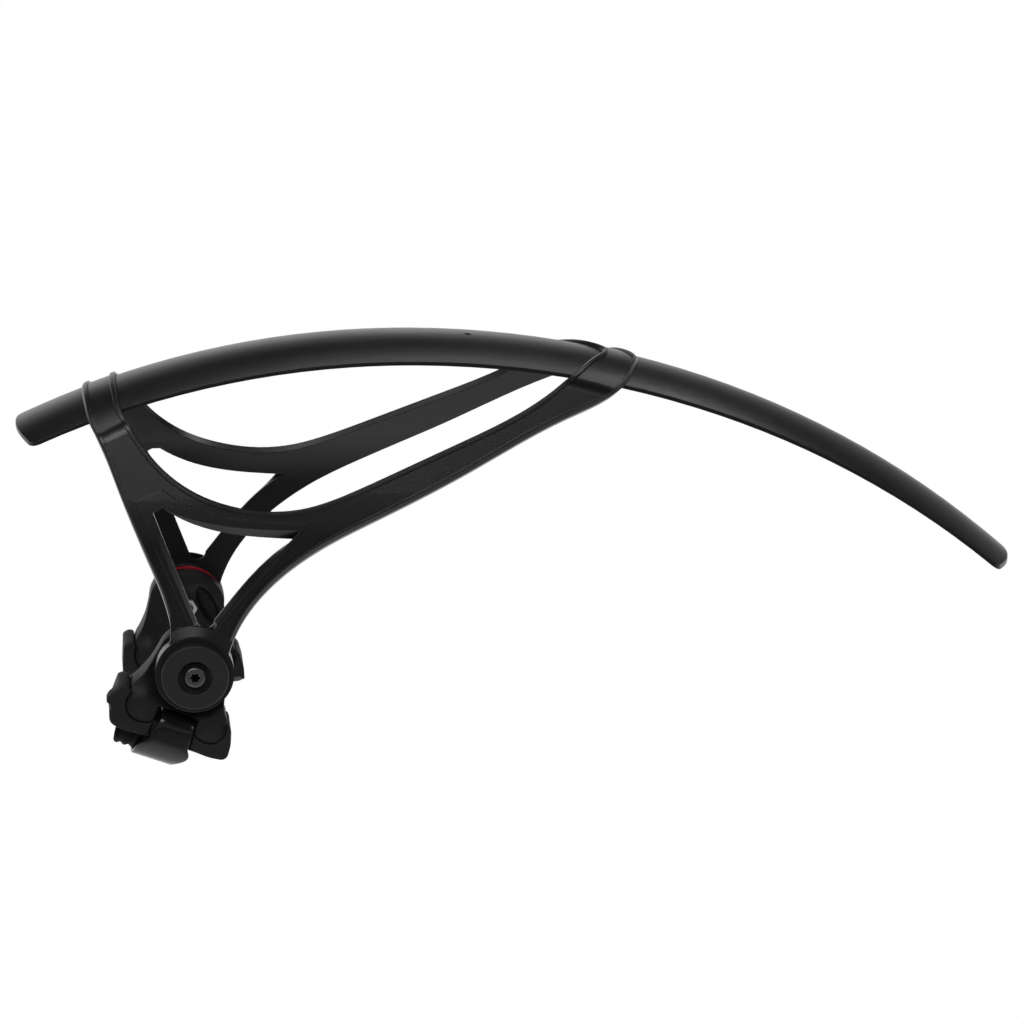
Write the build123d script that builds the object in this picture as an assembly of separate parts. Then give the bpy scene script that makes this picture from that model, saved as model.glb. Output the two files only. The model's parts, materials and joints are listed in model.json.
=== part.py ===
import os
from math import asin, cos, degrees, hypot, radians, sin, sqrt, tan

from build123d import *

# A clip-on rear mudguard that straps to a bicycle's two seat stays.
# X runs to the rear of the bicycle, Y to its right side and Z up, in millimetres.
# The origin lies midway between the two pivots of the stay shoes.

# Blade: a thin strip on two tangent arcs, crowned across its width
blade_wall = 1.6
crown_x = 91.3
crown_z = 142.0
front_radius = 402.5
rear_radius = 438.3
section_radius = 76.0
front_tip_x = -77.5
rear_tip_x = 384.5
front_end_bow = 7.5
rear_end_bow = 10.0
front_half_width = 29.4
middle_half_width = 30.4
rear_half_width = 29.6
end_corner = 6.0
sweep_margin = 5.0
side_margin = 2.0
dimple_x = 130.0
dimple_radius = 1.7
dimple_depth = 0.8

# Carrier: hoops over the blade
hoop_web = 0.8
hoop_rib = 1.8
front_hoop_x = -38.9
front_hoop_width = 15.0
rear_hoop_front = 192.3
rear_hoop_back = 208.6
front_rake = 0.6
back_rake = 0.3
hoop_nose = 6.0
hoop_stations = [0.0, 4.0, 10.0, 19.0, 30.0]
shoulder_round = 9.0
shoulder_inner = 2.0
saddle_margin = 18.5
ledge_length = 9.0
front_ledge_x = -36.0
rear_ledge_x = 185.0
ledge_wall = 2.0
ledge_reach = 4.0
ledge_clearance = 0.2

# Carrier: the two arms, upright at the pivots and leaning in towards the blade
arm_inner = 53.5
arm_wall = 4.5
bend_z = 55.0
bend_radius = 71.5
lean = 20.0
slant = 0.6
pocket_depth = 0.9
bead_width = 2.3
window_bead = 1.6
edge_bevel = 0.8
lower_bevel = 1.4
touch = 0.01

# Arm outline, as offsets from the pivot and points on the way to the hoops
leg_foot = (-10.4, 24.0)
leg_points = [(-15.7, 43.7), (-18.9, 51.9), (-27.3, 73.3), (-32.3, 86.3), (-37.6, 100.5)]
leg_root_round = 7.0
leg_root_inset = 0.3
rim_points = [(-21.4, 105.3), (-13.2, 95.1), (4.3, 82.5), (17.5, 77.6), (35.4, 74.6), (53.3, 75.9)]
rim_points += [(71.5, 81.4), (99.0, 92.3), (126.5, 103.3), (154.3, 116.0)]
lower_start = (14.0, 0.0)
lower_points = [(20.9, 21.9), (34.7, 39.9), (52.9, 54.3), (84.7, 70.4), (126.0, 89.3), (172.3, 111.5)]

# Arm window between the two legs, with a wide bevel under the arch
window_corner = (-21.4, 79.1)
window_peak = (-12.6, 83.3)
window_arch = [(8.5, 72.6), (30.1, 68.4)]
window_tip = (49.3, 66.9)
window_leg = [(32.0, 47.6), (22.6, 37.4)]
window_foot_rear = (10.6, 22.6)
window_foot = (5.3, 18.4)
window_foot_front = (0.0, 23.0)
arch_bevel = 6.0
leg_bevel = 1.6
bevel_depth = 3.2

# Pivot stack, from the carrier boss outwards and inwards
boss_radius = 17.9
boss_proud = 2.0
boss_depth = 1.5
boss_ramp = 4.5
cap_radius = 15.2
cap_height = 5.0
cap_round = 0.9
recess_radius = 7.8
recess_depth = 3.4
screw_radius = 2.5
screw_head_radius = 4.9
screw_head_height = 2.2
screw_head_round = 1.2
screw_end = 0.8
socket_radius = 2.3
socket_lobe = 0.75
socket_depth = 1.5
washer_radius = 6.1
washer_wall = 1.0
friction_radius = 17.4
friction_wall = 1.6
hole_clearance = 0.2
running_clearance = 0.08
turning_gap = 0.2

# Stay shoe, drawn upright about its pivot
shoe_turn = {"left": 21.0, "right": 3.0}
head_radius = 16.2
head_wall = 9.0
base_front = 24.0
base_rear = 23.5
base_top = 19.0
base_bottom = 30.0
base_width = 21.0
base_corner = 5.0
base_slope = 1.5
flank_top = 8.0
slot_length = 20.0
slot_top = 21.0
slot_height = 6.5
nut_flats = 8.0
nut_wall = 4.0
nut_seat = 2.0
nut_gap = 0.1

# Rubber pad under the shoe and the strap through its slot
pad_front = 6.4
pad_rear = 4.4
pad_sole = 6.0
pad_lip = 0.8
pad_round = 1.2
stay_radius = 6.5
stay_clearance = 0.1
saddle_depth = 3.9
strap_wall = 1.6
strap_gap = 0.4
strap_side_gap = 0.6
strap_bend = 9.0

# Places that follow from the sizes above
arm_outer = arm_inner + arm_wall
boss_inner = arm_inner - boss_depth
boss_face = arm_outer + boss_proud
cap_face = boss_face + cap_height
recess_floor = cap_face - recess_depth
friction_face = boss_inner - friction_wall
shoe_outer = friction_face - turning_gap
shoe_inner = shoe_outer - head_wall
nut_inner = shoe_inner - nut_wall + nut_seat
base_middle = (shoe_outer + shoe_inner) / 2
pad_width = base_width + 2 * pad_lip
pad_bottom = base_bottom + pad_sole
stay_z = saddle_depth - pad_bottom - stay_radius
slot_bottom = slot_top + slot_height
reach = 2 * arm_outer
full_height = 2 * crown_z


def blade_radius(x):
    return front_radius if x < crown_x else rear_radius


def crown_height(x):
    radius = blade_radius(x)
    return crown_z - radius + sqrt(radius ** 2 - (x - crown_x) ** 2)


def blade_point(x, depth):
    # the point under the crown at x, this deep along the blade's own normal
    turn = asin((x - crown_x) / blade_radius(x))
    return x - depth * sin(turn), crown_height(x) - depth * cos(turn)


def disc(radius, start, end):
    # a round plate about the pivot axis, from one side distance to another
    plate = Cylinder(radius, end - start, align=(Align.CENTER, Align.CENTER, Align.MIN))
    return Pos(0, start, 0) * Rot(-90, 0, 0) * plate


def side_face(edges, distance=0.0):
    # a face drawn in X and Z, set at a distance along Y
    return Plane.XZ.offset(-distance) * make_face(edges)


def across(face):
    # a drawn side face stretched through the whole width of the part
    return extrude(face, amount=reach, both=True)


def slab(face, start, end):
    # a face drawn in X and Z, given its thickness along Y
    return extrude(Plane.XZ.offset(-start) * face, amount=start - end)


def both_sides(shape):
    return shape + mirror(shape, about=Plane.XZ)


def sweep_along_blade(section_edges):
    # a section drawn at the crown, turned along both arcs of the blade
    section = Plane.YZ.offset(crown_x) * make_face(section_edges)
    rear_axis = Axis((crown_x, 0, crown_z - rear_radius), (0, 1, 0))
    front_axis = Axis((crown_x, 0, crown_z - front_radius), (0, -1, 0))
    rear_turn = degrees(asin((rear_tip_x - crown_x) / rear_radius)) + sweep_margin
    front_turn = degrees(asin((crown_x - front_tip_x) / front_radius)) + sweep_margin
    return revolve(section, rear_axis, rear_turn) + revolve(section, front_axis, front_turn)


def crowned_arc(offset, half):
    radius = section_radius + offset
    height = crown_z - section_radius
    end = (half, height + sqrt(radius ** 2 - half ** 2))
    return ThreePointArc((-half, end[1]), (0, height + radius), end)


def crowned_shell(inner, outer, half):
    # a shell over the blade, between two distances from its outer skin
    top = crowned_arc(outer, half)
    under = crowned_arc(inner, half)
    sides = [Line(top @ 0, under @ 0), Line(top @ 1, under @ 1)]
    return sweep_along_blade([top, under] + sides)


def below_skin(offset):
    # everything below a skin at this distance over the blade
    top = crowned_arc(offset, arm_outer)
    floor = crown_z - front_radius / 2
    corners = [top @ 1, (arm_outer, floor), (-arm_outer, floor), top @ 0]
    return sweep_along_blade([top, Polyline(*corners)])


def skin_offset(point):
    # how far a point lies over the blade's outer skin
    radius = blade_radius(point.X)
    lift = hypot(point.X - crown_x, point.Z - crown_z + radius) - radius
    return hypot(lift + section_radius, point.Y) - section_radius


def blade_plan():
    front = front_tip_x + front_end_bow
    rear = rear_tip_x - rear_end_bow
    edges = []
    for side in (-1, 1):
        start = (front, side * front_half_width)
        middle = ((front + rear) / 2, side * middle_half_width)
        edges.append(ThreePointArc(start, middle, (rear, side * rear_half_width)))
    for tip, x, half in ((front_tip_x, front, front_half_width), (rear_tip_x, rear, rear_half_width)):
        edges.append(ThreePointArc((x, -half), (tip, 0), (x, half)))
    outline = make_face(edges)
    return fillet(outline.vertices(), end_corner)


def mudguard_blade():
    shell = crowned_shell(-blade_wall, 0, middle_half_width + side_margin)
    plan = extrude(blade_plan(), amount=full_height, both=True)
    dimple = Pos(dimple_x, 0, crown_height(dimple_x)) * Cylinder(dimple_radius, 2 * dimple_depth)
    return (shell & plan) - dimple


def envelope(depth):
    # everything between the arms, out to this distance beyond their inner faces
    turn = radians(lean)
    side = arm_inner + depth
    radius = bend_radius + depth
    middle = arm_inner - bend_radius
    bend_end = (middle + radius * cos(turn), bend_z + radius * sin(turn))
    bend_half = (middle + radius * cos(turn / 2), bend_z + radius * sin(turn / 2))
    bottom = -2 * boss_radius
    top = crown_z + boss_radius
    top_y = bend_end[0] - (top - bend_end[1]) * tan(turn)
    wall = [
        Line((0, bottom), (side, bottom)),
        Line((side, bottom), (side, bend_z)),
        ThreePointArc((side, bend_z), bend_half, bend_end),
        Line(bend_end, (top_y, top)),
        Line((top_y, top), (0, top)),
        Line((0, top), (0, bottom)),
    ]
    half = extrude(Plane.YZ * make_face(wall), amount=2 * rear_tip_x, both=True)
    return both_sides(half)


def arm_depth(point):
    # how far a point lies beyond the inner face of its arm
    turn = radians(lean)
    y = abs(point.Y) - arm_inner + bend_radius
    z = point.Z - bend_z
    if z <= 0:
        return y - bend_radius
    if z < y * tan(turn):
        return hypot(y, z) - bend_radius
    return y * cos(turn) + z * sin(turn) - bend_radius


def saddle(offset, depth, corner):
    # what lies under a hoop skin and between the arms' faces, with rounded shoulders
    front = front_hoop_x - saddle_margin
    rear = rear_hoop_back + saddle_margin
    room = Box(rear - front, 2 * reach, 4 * full_height, align=(Align.MIN, Align.CENTER, Align.CENTER))
    solid = below_skin(offset) & envelope(depth) & Pos(front, 0, 0) * room

    def on_shoulder(edge):
        middle = edge @ 0.5
        return abs(skin_offset(middle) - offset) < touch and abs(arm_depth(middle) - depth) < touch

    return fillet(solid.edges().filter_by(on_shoulder), corner)


def slanted(x, y, z):
    # the carrier's outline is drawn on a plane that faces the right arm, leaning back towards the hoops
    return x, (z - slant * y) / hypot(1, slant)


def slanted_prism(face):
    # a face drawn there, stretched through the right half of the part and mirrored to the left
    plane = Plane((0, 0, 0), x_dir=(1, 0, 0), z_dir=(0, -1, -slant))
    room = Box(4 * rear_tip_x, reach, 4 * full_height, align=(Align.CENTER, Align.MIN, Align.CENTER))
    return both_sides(extrude(plane * face, amount=4 * reach, both=True) & room)


def arm_point(x, z):
    # a point of an arm's outer face, given as seen from the side
    turn = radians(lean)
    radius = bend_radius + arm_wall
    rise = z - bend_z
    y = radius
    if rise > radius * sin(turn):
        y = (radius - rise * sin(turn)) / cos(turn)
    elif rise > 0:
        y = sqrt(radius ** 2 - rise ** 2)
    return slanted(x, arm_inner - bend_radius + y, z)


def hoop_point(x, y):
    # a point of a hoop's rib, given as seen from above
    lift = sqrt((section_radius + hoop_rib) ** 2 - y ** 2) - section_radius
    x, z = blade_point(x, -lift)
    return slanted(x, y, z)


def front_hoop_points(x):
    return [hoop_point(x, y) for y in hoop_stations]


def rear_hoop_points(x, rake):
    # an edge of the rear hoop, raked forward on both sides of a round nose
    return [hoop_point(x - rake * (hypot(y, hoop_nose) - hoop_nose), y) for y in hoop_stations]


def arm_points(points, inset):
    # points of an arm's outer face, moved to the right of their path
    moved = []
    for index, point in enumerate(points):
        before = points[max(index - 1, 0)]
        after = points[min(index + 1, len(points) - 1)]
        run = after[0] - before[0]
        rise = after[1] - before[1]
        step = inset / hypot(run, rise)
        moved.append(arm_point(point[0] + step * rise, point[1] - step * run))
    return moved


def leg_line(inset=0.0):
    hoop = front_hoop_points(front_hoop_x - front_hoop_width / 2 + inset)
    return Spline(*arm_points([leg_foot] + leg_points, inset), *reversed(hoop))


def rim_line(inset=0.0):
    front = front_hoop_points(front_hoop_x + front_hoop_width / 2 - inset)
    rear = rear_hoop_points(rear_hoop_front + inset, front_rake)
    return Spline(*front, *arm_points(rim_points, inset), *reversed(rear))


def lower_line(inset=0.0):
    hoop = rear_hoop_points(rear_hoop_back - inset, back_rake)
    return Spline(*arm_points([lower_start] + lower_points, -inset), *reversed(hoop))


def carrier_outline(inset=0.0):
    # one arm and half of both hoops, drawn past the middle
    leg = leg_line(inset)
    rim = rim_line(inset)
    lower = lower_line(inset)
    over = Vector(0, front_hoop_width)
    edges = [leg, rim, lower, Polyline(leg @ 0, arm_point(leg_foot[0], lower_start[1]), lower @ 0)]
    for start, end in ((leg @ 1, rim @ 0), (rim @ 1, lower @ 1)):
        edges.append(Polyline(start, start + over, end + over, end))
    return make_face(edges)


def leg_root():
    # the hollow that leads the front leg into the boss
    radius = boss_radius - leg_root_inset
    leg = Pos(leg_foot[0] / 2, leg_foot[1] / 2) * Rectangle(-leg_foot[0], leg_foot[1])
    corner = Vector(leg_foot[0], sqrt(radius ** 2 - leg_foot[0] ** 2))
    outline = leg + Circle(radius)
    outline = fillet(outline.vertices().sort_by_distance(corner)[0], leg_root_round)
    outline &= Pos(-boss_radius, 0) * Rectangle(2 * boss_radius, 2 * (leg_foot[1] - bead_width))
    return slab(outline, arm_inner, arm_outer)


def window_outline(arch, leg):
    # the window's outline, drawn in by a bevel under the arch and one along the legs
    corner = (window_corner[0] + 2 * leg + 0.2 * arch, window_corner[1] - 0.7 * arch)
    tip = (window_tip[0] - 1.4 * leg, window_tip[1] - arch)
    foot_rear = (window_foot_rear[0] - 0.7 * leg, window_foot_rear[1] + 0.7 * leg)
    foot_front = (window_foot_front[0] + leg, window_foot_front[1] + 0.4 * leg)
    peak = (window_peak[0], window_peak[1] - arch)
    arch_points = [(x, z - arch) for x, z in window_arch]
    leg_points = [(x - 0.7 * leg, z + 0.7 * leg) for x, z in window_leg]
    return [
        Polyline(foot_front, corner, peak),
        Spline(peak, *arch_points, tip),
        Spline(tip, *leg_points, foot_rear),
        ThreePointArc(foot_rear, (window_foot[0], window_foot[1] + leg), foot_front),
    ]


def window_cutter():
    outer = side_face(window_outline(0, 0), arm_outer)
    lip = side_face(window_outline(arch_bevel, leg_bevel), arm_outer - bevel_depth)
    bevel = loft([outer, lip], ruled=True)
    return both_sides(bevel + extrude(outer, amount=-arm_wall) + extrude(lip, amount=arm_wall))


def outer_edges(shape, line, inner):
    # the edges of the outer faces that follow a drawn line, clear of the inner solid
    def follows(edge):
        middle = edge @ 0.5
        if line.distance_to(Vertex(*slanted(middle.X, abs(middle.Y), middle.Z))) > touch:
            return False
        return min(inner.distance_to(Vertex(edge @ t)) for t in (0, 0.5, 1)) > hoop_web

    return shape.edges().filter_by(follows)


def carrier_fields():
    # shallow fields in the outer faces, framed by the beads along the edges
    fields = slanted_prism(carrier_outline(bead_width))
    fields -= saddle(hoop_web, arm_wall - pocket_depth, shoulder_round)
    foot = Pos(leg_foot[0], 0, leg_foot[1] / 2)
    fields -= foot * Box(2 * bead_width, 2 * reach, leg_foot[1] + bead_width)
    fields -= across(side_face(window_outline(-window_bead, -window_bead)))
    return fields - disc(boss_radius + boss_ramp, -reach, reach)


def carrier_ledges():
    # tabs under the blade's two edges, inside each hoop
    top = -blade_wall - ledge_clearance
    shell = crowned_shell(top - ledge_wall, top, arm_inner) & envelope(arm_wall / 2)
    room = Box(ledge_length, 2 * reach, 4 * full_height)
    ledges = shell & (Pos(front_ledge_x, 0, 0) * room + Pos(rear_ledge_x, 0, 0) * room)
    inside = Box(4 * rear_tip_x, 2 * (middle_half_width - ledge_reach), 4 * full_height)
    return (ledges - inside) & slanted_prism(carrier_outline(bead_width))


def carrier_frame():
    inner = saddle(0, 0, shoulder_inner)
    outline = slanted_prism(carrier_outline())
    frame = (saddle(hoop_rib, arm_wall, shoulder_round) - inner) & outline
    for line, size in ((lower_line(), lower_bevel), (rim_line(), edge_bevel), (leg_line(), edge_bevel)):
        frame = chamfer(outer_edges(frame, line, inner), size)
    frame -= carrier_fields()
    frame -= window_cutter()
    frame += both_sides(leg_root())
    cone = Cone(boss_radius + boss_ramp, boss_radius, boss_proud)
    ramp = Pos(0, arm_outer + boss_proud / 2, 0) * Rot(-90, 0, 0) * cone
    frame += both_sides(disc(boss_radius, boss_inner, boss_face) + (ramp & outline))
    frame -= disc(screw_radius + hole_clearance, -cap_face, cap_face)
    return frame + carrier_ledges()


def pivot_cap():
    cap = disc(cap_radius, boss_face, cap_face)
    cap = fillet(cap.edges().sort_by(Axis.Y)[-1], cap_round)
    cap -= disc(recess_radius, recess_floor, cap_face)
    return cap - disc(screw_radius + hole_clearance, 0, cap_face)


def pivot_screw():
    seat = recess_floor + washer_wall
    head = disc(screw_head_radius, seat, seat + screw_head_height)
    head = fillet(head.edges().sort_by(Axis.Y)[-1], screw_head_round)
    lobes = socket_radius - socket_lobe
    star = Circle(lobes) + PolarLocations(lobes, 6) * Circle(socket_lobe)
    top = Plane((0, seat + screw_head_height, 0), x_dir=(1, 0, 0), z_dir=(0, 1, 0))
    head -= extrude(top * star, amount=-socket_depth)
    return head + disc(screw_radius, nut_inner - screw_end, seat)


def screw_washer():
    ring = disc(washer_radius, recess_floor, recess_floor + washer_wall)
    return ring - disc(screw_radius + hole_clearance, 0, cap_face)


def friction_washer():
    ring = disc(friction_radius, friction_face, boss_inner)
    return ring - disc(screw_radius + hole_clearance, 0, cap_face)


def hexagon(flats, start, end):
    return slab(RegularPolygon(flats / 2, 6, major_radius=False), start, end)


def base_face():
    block = make_face(Polyline(
        (-base_front, -base_top), (base_rear, -base_top),
        (base_rear, -base_bottom), (-base_front, -base_bottom), close=True))
    return fillet(block.vertices().group_by(Axis.Y)[0], base_corner)


def stay_shoe():
    flank = sqrt(head_radius ** 2 - flank_top ** 2)
    web = make_face(Polyline(
        (-flank, flank_top), (flank, flank_top),
        (base_rear, -base_top), (-base_front, -base_top), close=True))
    half = base_width / 2
    base = slab(base_face(), base_middle - half, base_middle + half)
    base = chamfer(base.edges().filter_by(Axis.X).group_by(Axis.Z)[-1], base_slope)
    body = slab(Circle(head_radius) + web, shoe_inner, shoe_outer) + base
    slot = Box(slot_length, 2 * base_width, slot_height)
    body -= Pos(0, base_middle, -slot_top - slot_height / 2) * slot
    body -= disc(screw_radius + running_clearance, 0, cap_face)
    return body - hexagon(nut_flats + 2 * nut_gap, 0, shoe_inner + nut_seat)


def captive_nut():
    nut = hexagon(nut_flats, nut_inner, shoe_inner + nut_seat)
    return nut - disc(screw_radius + running_clearance, 0, cap_face)


def shoe_pad():
    front = -base_front - pad_front
    rear = base_rear + pad_rear
    block = make_face(Polyline(
        (front, -base_top), (rear, -base_top), (rear, -pad_bottom), (front, -pad_bottom), close=True))
    block = fillet(block.vertices(), pad_round) - base_face()
    half = pad_width / 2
    pad = slab(block, base_middle - half, base_middle + half)
    stay = Cylinder(stay_radius + stay_clearance, 4 * base_front)
    return pad - Pos(0, base_middle, stay_z) * Rot(0, 90, 0) * stay


def strap_loop(grow):
    half = pad_width / 2 + strap_gap + grow
    top = grow - slot_bottom
    low = stay_z - stay_radius - strap_gap - grow
    loop = make_face(Polyline((-half, top), (half, top), (half, low), (-half, low), close=True))
    loop = fillet(loop.vertices().group_by(Axis.Y)[0], strap_bend + grow)
    return fillet(loop.vertices().group_by(Axis.Y)[-1], pad_lip + strap_gap + grow)


def stay_strap():
    ring = Plane.YZ * (Pos(base_middle, 0) * (strap_loop(strap_wall) - strap_loop(0)))
    return extrude(ring, amount=slot_length / 2 - strap_side_gap, both=True)


def placed(shape, side, turn=0.0):
    # the pieces are drawn on the right side; the left ones are their mirror images
    if side == "left":
        shape = mirror(shape, about=Plane.XZ)
    return Rot(0, turn, 0) * shape


if __name__ == "__main__":
    os.makedirs("parts", exist_ok=True)
    nodes = {"mudguard_blade": mudguard_blade(), "carrier_frame": carrier_frame()}
    fixed = {"pivot_cap": pivot_cap(), "pivot_screw": pivot_screw()}
    fixed.update({"screw_washer": screw_washer(), "friction_washer": friction_washer()})
    turning = {"stay_shoe": stay_shoe(), "shoe_pad": shoe_pad()}
    turning.update({"captive_nut": captive_nut(), "stay_strap": stay_strap()})
    for side, turn in shoe_turn.items():
        for name, shape in fixed.items():
            nodes[side + "_" + name] = placed(shape, side)
        for name, shape in turning.items():
            nodes[side + "_" + name] = placed(shape, side, turn)
    for name, shape in nodes.items():
        export_step(shape, "parts/" + name + ".step")
        print(name, round(shape.volume), len(shape.solids()), shape.is_valid)
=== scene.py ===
import json
import math

import bmesh
import bpy
from mathutils import Matrix, Vector


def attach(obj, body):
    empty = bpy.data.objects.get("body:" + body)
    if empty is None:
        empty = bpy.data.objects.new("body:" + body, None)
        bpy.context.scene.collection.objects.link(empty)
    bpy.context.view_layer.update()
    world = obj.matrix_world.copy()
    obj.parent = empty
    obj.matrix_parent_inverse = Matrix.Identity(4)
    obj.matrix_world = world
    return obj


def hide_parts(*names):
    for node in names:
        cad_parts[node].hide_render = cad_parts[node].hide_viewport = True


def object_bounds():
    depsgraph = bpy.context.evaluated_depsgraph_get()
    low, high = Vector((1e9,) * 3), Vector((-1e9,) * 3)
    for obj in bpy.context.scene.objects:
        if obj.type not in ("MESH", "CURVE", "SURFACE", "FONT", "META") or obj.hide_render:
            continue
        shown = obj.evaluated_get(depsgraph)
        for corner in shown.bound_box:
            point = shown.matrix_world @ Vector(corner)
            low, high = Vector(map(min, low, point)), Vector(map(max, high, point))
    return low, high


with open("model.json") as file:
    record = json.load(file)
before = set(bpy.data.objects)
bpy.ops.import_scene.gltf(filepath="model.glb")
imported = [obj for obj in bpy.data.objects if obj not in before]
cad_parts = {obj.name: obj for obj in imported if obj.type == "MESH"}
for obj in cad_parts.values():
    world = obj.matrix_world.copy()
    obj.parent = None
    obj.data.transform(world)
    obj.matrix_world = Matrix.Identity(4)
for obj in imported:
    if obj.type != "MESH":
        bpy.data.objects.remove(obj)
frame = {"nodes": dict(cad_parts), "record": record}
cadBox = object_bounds()
nodes = frame["nodes"]
scene = bpy.context.scene
print("loaded", len(nodes), "solids")


# camera, lamps and room

cameraLook = {
    "place": (-0.0503, -1.9089, 0.6158), "aim": (0.1504, 0.0002, 0.0545),
    "lens": 151.2, "sensor": 36.0, "farthest": 20}


def addAimed(name, data, look):
    thing = bpy.data.objects.new(name, data)
    scene.collection.objects.link(thing)
    thing.location = look["place"]
    thing.rotation_euler = (Vector(look["aim"]) - thing.location).to_track_quat("-Z", "Y").to_euler()
    return thing


def addCamera(look):
    lens = bpy.data.cameras.new("photoCamera")
    lens.lens = look["lens"]
    lens.sensor_width = look["sensor"]
    lens.clip_end = look["farthest"]
    scene.camera = addAimed("photoCamera", lens, look)


lampLook = {
    "key": {"place": (-0.5, -1.3, 1.3), "aim": (0.1, 0.0, 0.05), "size": (1.8, 0.6), "power": 14},
    "overhead": {"place": (-0.15, 0.6, 1.65), "aim": (0.1, 0.0, 0.1), "size": (2.2, 0.35), "power": 6},
    "overheadRear": {"place": (1.25, 0.8, 1.6), "aim": (0.28, 0.0, 0.08), "size": (0.8, 0.35), "power": 3.5},
    "rear": {"place": (1.7, -0.7, 1.2), "aim": (0.25, 0.0, 0.08), "size": (0.8, 0.5), "power": 4},
}


def addLamp(name, look):
    area = bpy.data.lights.new(name, "AREA")
    area.shape = "RECTANGLE"
    area.size, area.size_y = look["size"]
    area.energy = look["power"]
    addAimed(name, area, look)


def feed(tree, socket, value):
    # the value is another node's output or a plain constant
    if isinstance(value, bpy.types.NodeSocket):
        tree.links.new(value, socket)
    else:
        socket.default_value = value


def addMath(tree, operation, *values):
    node = tree.nodes.new("ShaderNodeMath")
    node.operation = operation
    for socket, value in zip(node.inputs, values):
        feed(tree, socket, value)
    return node.outputs[0]


def addRange(tree, value, source=(0, 1), target=(0, 1)):
    node = tree.nodes.new("ShaderNodeMapRange")
    node.inputs["From Min"].default_value = source[0]
    node.inputs["From Max"].default_value = source[1]
    node.inputs["To Min"].default_value = target[0]
    node.inputs["To Max"].default_value = target[1]
    feed(tree, node.inputs["Value"], value)
    return node.outputs["Result"]


def addTint(tree, amount, start, end):
    node = tree.nodes.new("ShaderNodeMix")
    node.data_type = "RGBA"
    feed(tree, node.inputs["Factor"], amount)
    feed(tree, node.inputs["A"], start)
    feed(tree, node.inputs["B"], end)
    return node.outputs["Result"]


white = (1, 1, 1, 1)
worldLook = {
    "ambient": (0.3, 0.3, 0.3, 1),
    "backdropTop": (0.16, 0.44), "backdropSide": (0.35, 0.8), "backdropEnd": (0.13, 0.34)}
floorLook = {"color": (0.4, 0.4, 0.4, 1), "rough": 0.9, "half": 9.0, "drop": 0.32, "sweepStart": (-0.8, -0.2)}


def whiteForCamera(tree, plainSocket, brightSocket, outSocket, glossyMask):
    # white to the camera, and in reflections only where the backdrop would show
    path = tree.nodes.new("ShaderNodeLightPath")
    glossy = addMath(tree, "MULTIPLY", path.outputs["Is Glossy Ray"], glossyMask)
    seen = addMath(tree, "MAXIMUM", path.outputs["Is Camera Ray"], path.outputs["Is Transmission Ray"])
    seen = addMath(tree, "MAXIMUM", seen, glossy)
    mix = tree.nodes.new("ShaderNodeMixShader")
    for socket, value in zip(mix.inputs, (seen, plainSocket, brightSocket)):
        tree.links.new(value, socket)
    tree.links.new(mix.outputs[0], outSocket)


def addWorld(look):
    world = bpy.data.worlds.new("whiteRoom")
    scene.world = world
    world.use_nodes = True
    tree = world.node_tree
    tree.nodes.clear()
    out = tree.nodes.new("ShaderNodeOutputWorld")
    direction = tree.nodes.new("ShaderNodeTexCoord")
    parts = tree.nodes.new("ShaderNodeSeparateXYZ")
    tree.links.new(direction.outputs["Generated"], parts.inputs["Vector"])
    low = addRange(tree, parts.outputs["Z"], look["backdropTop"], (1, 0))
    behind = addRange(tree, parts.outputs["Y"], look["backdropSide"])
    end = addRange(tree, parts.outputs["X"], look["backdropEnd"], (1, 0))
    backdrop = addMath(tree, "MULTIPLY", addMath(tree, "MULTIPLY", low, behind), end)
    plain = tree.nodes.new("ShaderNodeBackground")
    plain.inputs["Color"].default_value = look["ambient"]
    tree.links.new(low, plain.inputs["Strength"])
    bright = tree.nodes.new("ShaderNodeBackground")
    bright.inputs["Color"].default_value = white
    whiteForCamera(tree, plain.outputs[0], bright.outputs[0], out.inputs["Surface"], backdrop)


def addFloor(look):
    shape = bmesh.new()
    bmesh.ops.create_grid(shape, x_segments=1, y_segments=1, size=look["half"])
    bmesh.ops.translate(shape, verts=shape.verts, vec=(0, 0, cadBox[0][2] - look["drop"]))
    mesh = bpy.data.meshes.new("floor")
    shape.to_mesh(mesh)
    shape.free()
    floor = bpy.data.objects.new("floor", mesh)
    scene.collection.objects.link(floor)
    material = bpy.data.materials.new("paleFloor")
    material.use_nodes = True
    tree = material.node_tree
    matte = tree.nodes["Principled BSDF"]
    matte.inputs["Base Color"].default_value = look["color"]
    matte.inputs["Roughness"].default_value = look["rough"]
    bright = tree.nodes.new("ShaderNodeEmission")
    bright.inputs["Color"].default_value = white
    out = tree.nodes["Material Output"]
    place = tree.nodes.new("ShaderNodeTexCoord")
    parts = tree.nodes.new("ShaderNodeSeparateXYZ")
    tree.links.new(place.outputs["Object"], parts.inputs["Vector"])
    behind = addRange(tree, parts.outputs["Y"], look["sweepStart"])
    whiteForCamera(tree, matte.outputs[0], bright.outputs[0], out.inputs["Surface"], behind)
    mesh.materials.append(material)


addCamera(cameraLook)
for lampName, look in lampLook.items():
    addLamp(lampName, look)
addWorld(worldLook)
addFloor(floorLook)
scene.view_settings.view_transform = "Standard"
print("camera, lamps and floor are set")


# finishes

grainLook = {"fineDetail": 3, "coarseScale": 35, "coarseDetail": 4}


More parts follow.
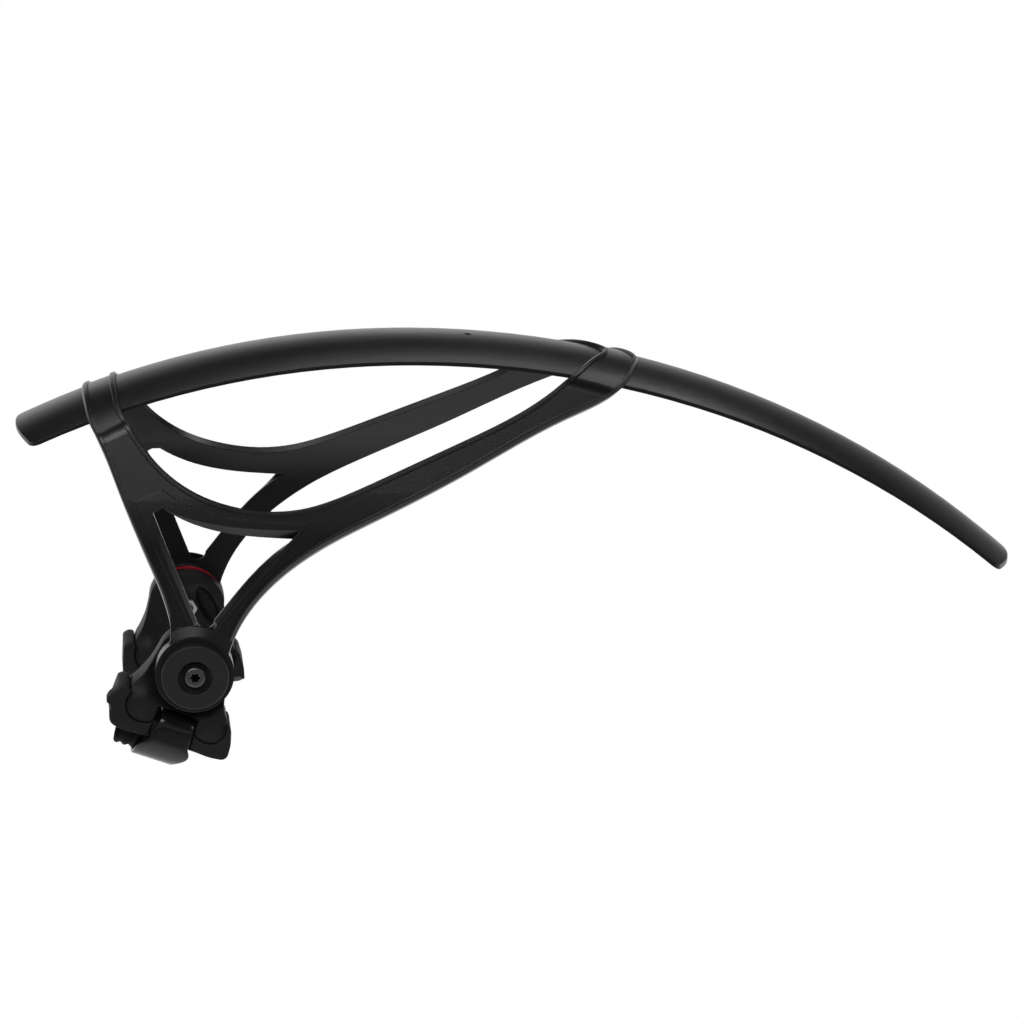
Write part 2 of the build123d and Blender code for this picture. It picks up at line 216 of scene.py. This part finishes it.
def grainGroup(look):
    group = bpy.data.node_groups.new("mouldedGrain", "ShaderNodeTree")
    group.interface.new_socket("Vector", in_out="INPUT", socket_type="NodeSocketVector")
    group.interface.new_socket("Scale", in_out="INPUT", socket_type="NodeSocketFloat")
    group.interface.new_socket("Height", in_out="OUTPUT", socket_type="NodeSocketFloat")
    group.interface.new_socket("Mottle", in_out="OUTPUT", socket_type="NodeSocketFloat")
    inside = group.nodes.new("NodeGroupInput")
    outside = group.nodes.new("NodeGroupOutput")
    fine = group.nodes.new("ShaderNodeTexNoise")
    fine.inputs["Detail"].default_value = look["fineDetail"]
    coarse = group.nodes.new("ShaderNodeTexNoise")
    coarse.inputs["Scale"].default_value = look["coarseScale"]
    coarse.inputs["Detail"].default_value = look["coarseDetail"]
    group.links.new(inside.outputs["Vector"], fine.inputs["Vector"])
    group.links.new(inside.outputs["Scale"], fine.inputs["Scale"])
    group.links.new(inside.outputs["Vector"], coarse.inputs["Vector"])
    group.links.new(fine.outputs["Fac"], outside.inputs["Height"])
    group.links.new(coarse.outputs["Fac"], outside.inputs["Mottle"])
    return group


mouldedGrain = grainGroup(grainLook)
edgeSamples = 6
# painted shade laid into the screw's socket
socketShadeColor = (0.004, 0.004, 0.004, 1)


def socketShadeMask(tree, place, radius, rim):
    # painted shade: 1 near the pivot axis and deeper than the rim of the screw's socket
    flat = tree.nodes.new("ShaderNodeVectorMath")
    flat.operation = "MULTIPLY"
    flat.inputs[1].default_value = (1, 0, 1)
    tree.links.new(place, flat.inputs[0])
    fromAxis = tree.nodes.new("ShaderNodeVectorMath")
    fromAxis.operation = "LENGTH"
    tree.links.new(flat.outputs["Vector"], fromAxis.inputs[0])
    parts = tree.nodes.new("ShaderNodeSeparateXYZ")
    tree.links.new(place, parts.inputs["Vector"])
    inside = addMath(tree, "LESS_THAN", fromAxis.outputs["Value"], radius)
    below = addMath(tree, "LESS_THAN", addMath(tree, "ABSOLUTE", parts.outputs["Y"]), rim)
    return addMath(tree, "MULTIPLY", inside, below)


def makeFinish(name, look):
    material = bpy.data.materials.new(name)
    material.use_nodes = True
    tree = material.node_tree
    shader = tree.nodes["Principled BSDF"]
    place = tree.nodes.new("ShaderNodeTexCoord").outputs["Object"]
    grain = tree.nodes.new("ShaderNodeGroup")
    grain.node_tree = mouldedGrain
    grain.inputs["Scale"].default_value = look["grainScale"]
    tree.links.new(place, grain.inputs["Vector"])
    tint = addTint(tree, grain.outputs["Mottle"], (*look["dark"], 1), (*look["light"], 1))
    # painted shade: the screw's socket is darkened below its rim
    if "socketShade" in look:
        tint = addTint(tree, socketShadeMask(tree, place, *look["socketShade"]), tint, socketShadeColor)
    tree.links.new(tint, shader.inputs["Base Color"])
    rough = addRange(tree, grain.outputs["Mottle"], target=look["rough"])
    tree.links.new(rough, shader.inputs["Roughness"])
    edge = tree.nodes.new("ShaderNodeBevel")  # the small radius that a mould leaves on every edge
    edge.samples = edgeSamples
    edge.inputs["Radius"].default_value = look["edge"]
    bump = tree.nodes.new("ShaderNodeBump")
    bump.inputs["Strength"].default_value = look["bump"]
    bump.inputs["Distance"].default_value = look["depth"]
    tree.links.new(grain.outputs["Height"], bump.inputs["Height"])
    tree.links.new(edge.outputs["Normal"], bump.inputs["Normal"])
    tree.links.new(bump.outputs["Normal"], shader.inputs["Normal"])
    shader.inputs["Metallic"].default_value = look.get("metal", 0.0)
    shader.inputs["Specular IOR Level"].default_value = look.get("specular", 0.5)
    return material


finishLook = {
    "blade_plastic": {
        "dark": (0.008, 0.008, 0.008), "light": (0.013, 0.013, 0.013), "rough": (0.29, 0.35),
        "grainScale": 1400, "bump": 0.25, "depth": 0.0002, "edge": 0.0004},
    "carrier_plastic": {
        "dark": (0.008, 0.008, 0.008), "light": (0.012, 0.012, 0.012), "rough": (0.26, 0.34),
        "grainScale": 900, "bump": 0.14, "depth": 0.0002, "edge": 0.0005},
    "cap_plastic": {
        "dark": (0.013, 0.013, 0.013), "light": (0.018, 0.018, 0.018), "rough": (0.5, 0.58),
        "grainScale": 1500, "bump": 0.2, "depth": 0.0002, "edge": 0.0004},
    "screw_steel": {
        "dark": (0.12, 0.12, 0.12), "light": (0.2, 0.2, 0.2), "rough": (0.35, 0.45), "metal": 1.0,
        "grainScale": 900, "bump": 0.05, "depth": 0.0001, "edge": 0.0003, "socketShade": (0.0033, 0.0647)},
    "washer_steel": {
        "dark": (0.02, 0.02, 0.02), "light": (0.04, 0.04, 0.04), "rough": (0.4, 0.5), "metal": 1.0,
        "grainScale": 900, "bump": 0.05, "depth": 0.0001, "edge": 0.0002},
    "red_plastic": {
        "dark": (0.42, 0.008, 0.03), "light": (0.55, 0.012, 0.04), "rough": (0.4, 0.5),
        "grainScale": 900, "bump": 0.1, "depth": 0.0001, "edge": 0.0002},
    "shoe_plastic": {
        "dark": (0.011, 0.0095, 0.0112), "light": (0.016, 0.014, 0.0163), "rough": (0.5, 0.6),
        "grainScale": 700, "bump": 0.3, "depth": 0.0003, "edge": 0.0004, "specular": 0.33},
    "pad_rubber": {
        "dark": (0.013, 0.0125, 0.0133), "light": (0.019, 0.0183, 0.0193), "rough": (0.55, 0.66),
        "grainScale": 600, "bump": 0.35, "depth": 0.0003, "edge": 0.0004, "specular": 0.33},
    "zinc_steel": {
        "dark": (0.78, 0.78, 0.78), "light": (0.9, 0.9, 0.9), "rough": (0.45, 0.55), "metal": 1.0,
        "grainScale": 600, "bump": 0.05, "depth": 0.0001, "edge": 0.0003},
    "strap_rubber": {
        "dark": (0.007, 0.007, 0.007), "light": (0.011, 0.011, 0.011), "rough": (0.16, 0.24),
        "grainScale": 500, "bump": 0.08, "depth": 0.0003, "edge": 0.0003, "specular": 0.55},
}
finishes = {name: makeFinish(name, look) for name, look in finishLook.items()}
slotOf = {entry["node"]: entry["material_slot"] for entry in frame["record"]["subparts"]}
for nodeName, solid in nodes.items():
    solid.data.materials.clear()
    solid.data.materials.append(finishes[slotOf[nodeName]])
print("finished", len(finishes), "materials")


# shoes, pads and straps: drawn upright about the pivot in millimetres, then turned and set at their side

sideLook = {
    "left": {"turn": 21.0, "mirror": -1, "body": "left_shoe", "nub": 1.0},
    "right": {"turn": 3.0, "mirror": 1, "body": "right_shoe", "nub": 0.0},
}
shoeMiddle = 45.7
stayLook = {"radius": 6.6, "height": -38.6}
millimetre = 0.001
sharpAngle = 40
weldGap = 0.01
cutGap = 0.001
xAxis, yAxis, zAxis = 0, 1, 2


def flatPiece(name, look):
    # a closed outline in X and Z, given its thickness and rounded edges
    curve = bpy.data.curves.new(name, "CURVE")
    curve.dimensions = "2D"
    curve.fill_mode = "NONE"
    curve.resolution_u = look["steps"]
    curve.extrude = look["half"]
    spline = curve.splines.new("BEZIER")
    spline.bezier_points.add(len(look["outline"]) - 1)
    for point, (x, z, handle) in zip(spline.bezier_points, look["outline"]):
        point.co = (x, z, 0)
        point.handle_left_type = handle
        point.handle_right_type = handle
    spline.use_cyclic_u = True
    drawn = bpy.data.objects.new(name, curve)
    scene.collection.objects.link(drawn)
    bpy.context.view_layer.update()
    flat = bpy.data.meshes.new_from_object(drawn.evaluated_get(bpy.context.evaluated_depsgraph_get()))
    bpy.data.objects.remove(drawn)
    bpy.data.curves.remove(curve)
    shape = bmesh.new()
    shape.from_mesh(flat)
    bpy.data.meshes.remove(flat)
    bmesh.ops.remove_doubles(shape, verts=shape.verts, dist=weldGap)
    rims = [edge for edge in shape.edges if edge.is_boundary]
    bmesh.ops.edgeloop_fill(shape, edges=rims)
    bmesh.ops.recalc_face_normals(shape, faces=shape.faces)
    bmesh.ops.bevel(
        shape, geom=rims, offset=look["round"], segments=look["roundSteps"], profile=0.5,
        affect="EDGES", material=-1, clamp_overlap=False)
    upright = Matrix.Rotation(math.radians(90), 3, "X")
    bmesh.ops.rotate(shape, verts=shape.verts, cent=(0, 0, 0), matrix=upright)
    return shape


def cutAcross(shape, axis, places):
    # edge loops at these places, so that the shape can bend there
    normal = Vector((0, 0, 0))
    normal[axis] = 1
    for place in places:
        geometry = shape.verts[:] + shape.edges[:] + shape.faces[:]
        bmesh.ops.bisect_plane(shape, geom=geometry, dist=cutGap, plane_co=normal * place, plane_no=normal)


def ease(value, start, end):
    share = min(max((value - start) / (end - start), 0), 1)
    return share * share * (3 - 2 * share)


def placePiece(name, shape, side, slotName, *replaced):
    look = sideLook[side]
    turn = Matrix.Rotation(math.radians(look["turn"]), 3, "Y")
    bmesh.ops.scale(shape, verts=shape.verts, vec=(1, look["mirror"], 1))
    bmesh.ops.translate(shape, verts=shape.verts, vec=(0, look["mirror"] * shoeMiddle, 0))
    bmesh.ops.rotate(shape, verts=shape.verts, cent=(0, 0, 0), matrix=turn)
    bmesh.ops.scale(shape, verts=shape.verts, vec=(millimetre, millimetre, millimetre))
    bmesh.ops.recalc_face_normals(shape, faces=shape.faces)
    mesh = bpy.data.meshes.new(name)
    shape.to_mesh(mesh)
    shape.free()
    mesh.shade_smooth()
    mesh.set_sharp_from_angle(angle=math.radians(sharpAngle))
    mesh.materials.append(finishes[slotName])
    piece = bpy.data.objects.new(name, mesh)
    scene.collection.objects.link(piece)
    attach(piece, look["body"])
    if replaced:
        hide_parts(*replaced)
    return piece


shoeLook = {
    "half": 4.5, "round": 0.5, "roundSteps": 3, "steps": 5,
    "flankHalf": 7.4, "flankSpan": (17.6, 22.5),
    "baseHalf": 10.5, "baseSpan": (18.4, 25), "baseAngle": (-57, -42),
    "outline": [
        (0, 16.6, "AUTO"), (8, 15, "AUTO"), (13, 11.6, "AUTO"), (16.4, 6.6, "AUTO"), (17.4, 1, "AUTO"),
        (17.7, -6, "AUTO"), (19.2, -13.2, "AUTO"), (22.6, -18.4, "AUTO"), (23.7, -22.5, "AUTO"),
        (22.6, -27, "AUTO"), (19.5, -29.7, "AUTO"), (14, -30.1, "AUTO"), (10.2, -28.6, "AUTO"),
        (9.6, -25, "AUTO"), (9.6, -21.2, "VECTOR"), (-9.6, -21.2, "VECTOR"), (-9.6, -25, "AUTO"),
        (-10.2, -28.6, "AUTO"), (-14, -30.1, "AUTO"), (-20, -29.5, "AUTO"), (-23.3, -26.4, "AUTO"),
        (-24.7, -21, "AUTO"), (-24, -15.8, "AUTO"), (-21.9, -11.4, "AUTO"), (-19.9, -6, "AUTO"),
        (-18.2, 2.5, "AUTO"), (-16.6, 9.4, "AUTO"), (-12.8, 13.6, "AUTO"), (-7, 15.8, "AUTO"),
    ],
    "rows": [*range(12, -12, -1), -13, -15, -16.5, -17.5, -18.2, -18.8, -19.4, -20, -20.6],
    "columns": [
        -20, -17.5, -15, -12, -9, -6, 0,
        4, 4.8, 5.6, 6.4, 7.2, 8, 8.8, 9.6, 10.4, 11.2, 12, 12.8, 13.6, 15, 17.5, 20],
    "innerFace": -4.45,
    "hollow": {"middle": (9.6, 0.6), "half": (12.0, 4.3), "tilt": -62.0, "depth": 4.6, "wall": (0.6, 1)},
}


def hollowDepth(x, z, look):
    spot = Vector((x, z)) - Vector(look["middle"])
    spot.rotate(Matrix.Rotation(-math.radians(look["tilt"]), 2))
    away = math.hypot(spot.x / look["half"][0], spot.y / look["half"][1])
    return look["depth"] * (1 - ease(away, *look["wall"]))


def stayShoe(side):
    # a round head, hollow by the nut, that flares into a base with a lobe each side of the strap
    look = shoeLook
    shape = flatPiece("shoeDrawing", look)
    cutAcross(shape, zAxis, look["rows"])
    cutAcross(shape, xAxis, look["columns"])
    for vert in shape.verts:
        x, y, z = vert.co
        fromPivot = math.hypot(x, z)
        fromBelow = math.degrees(math.atan2(abs(x), -z))
        base = ease(fromPivot, *look["baseSpan"]) * ease(-fromBelow, *look["baseAngle"])
        half = look["half"] + (look["flankHalf"] - look["half"]) * ease(fromPivot, *look["flankSpan"])
        half += (look["baseHalf"] - half) * base
        vert.co.y *= half / look["half"]
        if y < look["innerFace"]:
            vert.co.y += hollowDepth(x, z, look["hollow"])
    placePiece(side + "ShoeBody", shape, side, "shoe_plastic", side + "_stay_shoe")


padLook = {
    "half": 11.3, "round": 0.7, "roundSteps": 3, "steps": 5, "bottom": -36,
    "channelHalf": 10.1, "channel": (9.5, 10.3),
    "frontEnd": -29.8, "nubSpan": (-2, 4),
    "innerLift": 3.6, "liftSpan": (33, 35.5),
    "grooveCuts": (-1, -0.9, -0.75, -0.5, -0.25, 0, 0.25, 0.5, 0.75, 0.9, 1),
    "outline": [
        (-25.6, -16.3, "AUTO"), (-28.8, -17.1, "AUTO"), (-30.8, -20.2, "AUTO"), (-33, -24.2, "AUTO"),
        (-32.7, -26.2, "AUTO"), (-30.7, -27.2, "AUTO"), (-29.8, -31, "AUTO"), (-28, -34.6, "AUTO"),
        (-24.5, -36, "AUTO"), (-12, -36, "VECTOR"), (12, -36, "VECTOR"), (23.5, -36, "AUTO"),
        (27.2, -34.6, "AUTO"), (27.7, -30, "AUTO"), (26.3, -24, "AUTO"), (24.6, -20.2, "AUTO"),
        (23.2, -19.4, "AUTO"), (23.5, -23, "AUTO"), (22, -27.6, "AUTO"), (19.4, -29.9, "AUTO"),
        (14, -30.3, "AUTO"), (10.4, -28.9, "AUTO"), (9.7, -27.9, "VECTOR"), (-9.7, -27.9, "VECTOR"),
        (-10.4, -28.9, "AUTO"), (-14, -30.3, "AUTO"), (-19.8, -29.8, "AUTO"), (-23.2, -26.8, "AUTO"),
        (-24.8, -22, "AUTO"), (-24.5, -17.2, "AUTO"),
    ],
}


def shoePad(side):
    # rubber that wraps the lobes, with a channel for the strap and a groove below for the seat stay
    look = padLook
    shape = flatPiece("padDrawing", look)
    near, far = look["channel"]
    cutAcross(shape, xAxis, [-far, -near, near, far])
    reach = math.sqrt(stayLook["radius"] ** 2 - (look["bottom"] - stayLook["height"]) ** 2)
    cutAcross(shape, yAxis, [reach * share for share in look["grooveCuts"]])
    narrow = look["channelHalf"] / look["half"]
    for vert in shape.verts:
        x, y, z = vert.co
        vert.co.y *= narrow + (1 - narrow) * ease(abs(x), near, far)
        if x < look["frontEnd"]:  # the nub stands on the left pad's outer half only
            nub = ease(y, *look["nubSpan"]) * sideLook[side]["nub"]
            vert.co.x = look["frontEnd"] + (x - look["frontEnd"]) * nub
        vert.co.z += look["innerLift"] * ease(-y, reach, look["half"]) * ease(-z, *look["liftSpan"])
        if abs(y) <= reach + weldGap:
            rise = math.sqrt(stayLook["radius"] ** 2 - min(abs(y), reach) ** 2)
            vert.co.z = max(z, stayLook["height"] + rise)
    placePiece(side + "RubberPad", shape, side, "pad_rubber", side + "_shoe_pad")


def openTube(rings, cuts):
    # a tube of radius 1 along Z, from -1 to 1
    shape = bmesh.new()
    bmesh.ops.create_cone(shape, cap_ends=False, segments=rings, radius1=1, radius2=1, depth=2)
    lengthways = [edge for edge in shape.edges if abs(edge.verts[0].co.z - edge.verts[1].co.z) > 1]
    bmesh.ops.subdivide_edges(shape, edges=lengthways, cuts=cuts, use_grid_fill=True)
    return shape


# the strap's front and rear edges, each with the depths between which it moves on to the next
strapLook = {
    "rings": 96, "cuts": 5, "half": 11.9, "slotHeight": -24.2, "turnHeight": -34.6, "square": 5.0,
    "front": {"top": -7.0, "side": -9.2, "bottom": -13.4, "toSide": (26, 33), "toBottom": (34.6, 41)},
    "rear": {
        "top": 8.7, "side": 9.4, "bulge": 11.0, "bottom": 5.8,
        "toSide": (26, 34), "toBulge": (35, 38.5), "toBottom": (39, 46.5)},
    "wall": 1.6, "rimAngle": 60, "round": 0.5, "roundSteps": 2,
}


def loopPoint(angle, look):
    # a loop that is round below and squared off where it passes the slot
    across = math.cos(angle)
    up = math.sin(angle)
    if up <= 0:
        return look["half"] * across, look["turnHeight"] + look["half"] * up
    size = (abs(across) ** look["square"] + abs(up) ** look["square"]) ** (-1 / look["square"])
    rise = look["slotHeight"] - look["turnHeight"]
    return look["half"] * across * size, look["turnHeight"] + rise * up * size


def stayStrap(side):
    # a soft band through the slot, over the pad's sides and round the stay, skewed to the front below
    look = strapLook
    front, rear = look["front"], look["rear"]
    shape = openTube(look["rings"], look["cuts"])
    for vert in shape.verts:
        share = (vert.co.z + 1) / 2
        y, z = loopPoint(math.atan2(vert.co.y, vert.co.x), look)
        start = front["top"] + (front["side"] - front["top"]) * ease(-z, *front["toSide"])
        start += (front["bottom"] - front["side"]) * ease(-z, *front["toBottom"])
        end = rear["top"] + (rear["side"] - rear["top"]) * ease(-z, *rear["toSide"])
        end += (rear["bulge"] - rear["side"]) * ease(-z, *rear["toBulge"])
        end += (rear["bottom"] - rear["bulge"]) * ease(-z, *rear["toBottom"])
        vert.co = (start + (end - start) * share, y, z)
    bmesh.ops.recalc_face_normals(shape, faces=shape.faces)
    bmesh.ops.solidify(shape, geom=shape.faces[:], thickness=look["wall"])
    rims = [edge for edge in shape.edges if edge.calc_face_angle(0) > math.radians(look["rimAngle"])]
    bmesh.ops.bevel(
        shape, geom=rims, offset=look["round"], segments=look["roundSteps"], profile=0.5,
        affect="EDGES", material=-1, clamp_overlap=True)
    placePiece(side + "RubberStrap", shape, side, "strap_rubber", side + "_stay_strap")


tailLook = {
    "rings": 96, "half": 10.9, "turnHeight": -34.6, "top": -36.0, "span": (-22.5, -11.0), "wall": 1.6,
    "ribs": 3, "ribDepth": 0.45, "ribSteps": 8}
# the strap rubber darkened and dulled: painted shade on the tail, which lies in shadow under the band
tailShadeFinish = makeFinish("ribbedTailShadedRubber", {
    "dark": (0.002, 0.002, 0.002), "light": (0.004, 0.004, 0.004), "rough": (0.6, 0.7), "specular": 0.1,
    "grainScale": 500, "bump": 0.2, "depth": 0.0003, "edge": 0.0003})


def strapTail(side):
    # the strap's free end, ribbed, tucked round the stay in front of the band
    look = tailLook
    shape = openTube(look["rings"], look["ribSteps"] * look["ribs"] - 1)
    start, end = look["span"]
    for vert in shape.verts:
        angle = math.atan2(vert.co.y, vert.co.x)
        share = (vert.co.z + 1) / 2
        half = look["half"] + look["ribDepth"] * math.sin(share * look["ribs"] * 2 * math.pi)
        y = half * math.cos(angle)
        z = look["turnHeight"] + half * math.sin(angle)
        vert.co = (start + (end - start) * share, y, z)
    high = [vert for vert in shape.verts if vert.co.z > look["top"]]
    bmesh.ops.delete(shape, geom=high, context="VERTS")
    bmesh.ops.recalc_face_normals(shape, faces=shape.faces)
    bmesh.ops.solidify(shape, geom=shape.faces[:], thickness=look["wall"])
    tail = placePiece(side + "StrapTail", shape, side, "strap_rubber")
    # painted shade: the tail takes the darkened copy of the strap rubber
    tail.data.materials[0] = tailShadeFinish


for side in sideLook:
    stayShoe(side)
    shoePad(side)
    stayStrap(side)
    strapTail(side)
print("modelled shoes, pads and straps")
